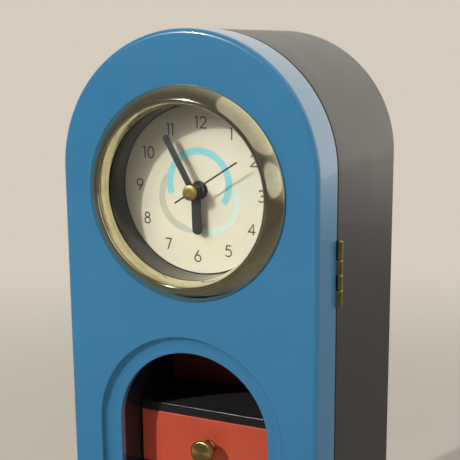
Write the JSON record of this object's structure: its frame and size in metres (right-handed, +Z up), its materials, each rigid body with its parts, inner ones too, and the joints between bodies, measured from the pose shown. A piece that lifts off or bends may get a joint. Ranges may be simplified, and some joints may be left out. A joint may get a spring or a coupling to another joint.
{
  "type": "clock diversion safe",
  "caption": "Arch-topped table clock whose hinged door hides a stack of small drawers, a cubby behind the clock and a closed compartment at the back.",
  "frame": {"origin": "centre of the underside of the case and door together, on the surface it stands on", "axes": "+Z up, the door and the clock face -Y, +X to the right of someone facing the clock, at the door hinge side"},
  "size_m": [0.1308, 0.1252, 0.344],
  "materials": {
    "blue_lacquer": "satin lacquer on board",
    "grey_lacquer": "satin lacquer on board",
    "black_paint": "semi-gloss black paint",
    "red_paint": "satin red paint",
    "knob_brass": "turned brass",
    "hinge_brass": "aged rolled brass",
    "bezel_brass": "polished brass",
    "steel": "plain steel",
    "glass": "clear flat glass",
    "dial": "printed cream sheet",
    "black_plastic": "matt black",
    "white_plastic": "moulded gear plastic",
    "copper_wire": "enamelled copper wire",
    "green_board": "circuit board",
    "cell_wrap": "plain printed sleeve",
    "felt": "pressed felt sheet"
  },
  "bodies": {
    "case": {"case_shell": "grey_lacquer", "base_felt": "felt", "false_back": "red_paint", "back_panel": "grey_lacquer", "hatch_pin_1": "steel", "hatch_pin_2": "steel", "hatch_magnet": "steel", "board_top": "black_paint", "board_1": "black_paint", "board_2": "black_paint", "board_3": "black_paint", "board_bottom": "black_paint", "catch_magnet": "steel", "hinge_upper_case_leaf": "hinge_brass", "hinge_upper_pin": "hinge_brass", "hinge_lower_case_leaf": "hinge_brass", "hinge_lower_pin": "hinge_brass"},
    "door": {"door_panel": "blue_lacquer", "window_liner": "black_paint", "catch_strike": "steel", "hinge_upper_door_leaf": "hinge_brass", "hinge_lower_door_leaf": "hinge_brass", "clock_bezel": "bezel_brass", "clock_glass": "glass", "clock_can": "bezel_brass", "clock_dial": "dial", "movement_housing": "black_plastic", "movement_cover": "black_plastic", "stator_plate": "steel", "drive_coil": "copper_wire", "circuit_board": "green_board", "battery_cell": "cell_wrap", "contact_plus": "steel", "contact_minus": "steel"},
    "hour_train": {"hour_wheel": "white_plastic", "hour_hand": "black_plastic"},
    "minute_train": {"minute_wheel": "white_plastic", "minute_hand": "black_plastic"},
    "second_train": {"second_wheel": "white_plastic", "second_hand": "black_plastic", "hand_cap": "bezel_brass"},
    "setting_train": {"motion_wheel": "white_plastic", "set_knob": "black_plastic"},
    "third": {"third_wheel": "white_plastic"},
    "intermediate": {"intermediate_wheel": "white_plastic"},
    "rotor": {"rotor": "steel"},
    "hatch": {"hatch_panel": "grey_lacquer"},
    "drawer_1": {"drawer_1_front": "red_paint", "drawer_1_tray": "black_paint", "drawer_1_knob": "knob_brass"},
    "drawer_2": {"drawer_2_front": "red_paint", "drawer_2_tray": "black_paint", "drawer_2_knob": "knob_brass"},
    "drawer_3": {"drawer_3_front": "red_paint", "drawer_3_tray": "black_paint", "drawer_3_knob": "knob_brass"},
    "drawer_4": {"drawer_4_front": "red_paint", "drawer_4_tray": "black_paint", "drawer_4_knob": "knob_brass"}
  },
  "joints": [
    {"name": "door_hinge", "type": "hinge", "parent": "case", "child": "door", "pos_m": [0.0654, -0.03405, 0], "axis": [0, 0, 1], "range_deg": [0, 180]},
    {"name": "second_hand_spin", "type": "hinge", "parent": "door", "child": "second_train", "pos_m": [0, -0.0434, 0.2708], "axis": [0, 1, 0], "continuous": true},
    {"name": "minute_hand_spin", "type": "hinge", "parent": "door", "child": "minute_train", "pos_m": [0, -0.0434, 0.2708], "axis": [0, 1, 0], "continuous": true},
    {"name": "hour_hand_spin", "type": "hinge", "parent": "door", "child": "hour_train", "pos_m": [0, -0.0434, 0.2708], "axis": [0, 1, 0], "continuous": true},
    {"name": "set_knob_spin", "type": "hinge", "parent": "door", "child": "setting_train", "pos_m": [0.00719, -0.0434, 0.27622], "axis": [0, 1, 0], "continuous": true},
    {"name": "third_wheel_spin", "type": "hinge", "parent": "door", "child": "third", "pos_m": [-0.0085, -0.0434, 0.2708], "axis": [0, 1, 0], "continuous": true},
    {"name": "intermediate_wheel_spin", "type": "hinge", "parent": "door", "child": "intermediate", "pos_m": [0, -0.0434, 0.2804], "axis": [0, 1, 0], "continuous": true},
    {"name": "rotor_spin", "type": "hinge", "parent": "door", "child": "rotor", "pos_m": [-0.00559, -0.0434, 0.28461], "axis": [0, 1, 0], "continuous": true},
    {"name": "drawer_1_slide", "type": "slide", "parent": "case", "child": "drawer_1", "axis": [0, -1, 0], "range_m": [0, 0.026]},
    {"name": "drawer_2_slide", "type": "slide", "parent": "case", "child": "drawer_2", "axis": [0, -1, 0], "range_m": [0, 0.026]},
    {"name": "drawer_3_slide", "type": "slide", "parent": "case", "child": "drawer_3", "axis": [0, -1, 0], "range_m": [0, 0.026]},
    {"name": "drawer_4_slide", "type": "slide", "parent": "case", "child": "drawer_4", "axis": [0, -1, 0], "range_m": [0, 0.026]},
    {"name": "hatch_hinge", "type": "hinge", "parent": "case", "child": "hatch", "pos_m": [-0.0307, 0.0574, 0], "axis": [0, 0, 1], "range_deg": [0, 90]}
  ],
  "couplings": [
    {"joint": "hour_hand_spin", "follows": "minute_hand_spin", "ratio": 0.083333},
    {"joint": "set_knob_spin", "follows": "minute_hand_spin", "ratio": -0.33333},
    {"joint": "third_wheel_spin", "follows": "second_hand_spin", "ratio": -0.13333},
    {"joint": "intermediate_wheel_spin", "follows": "second_hand_spin", "ratio": -5},
    {"joint": "rotor_spin", "follows": "second_hand_spin", "ratio": 30}
  ]
}
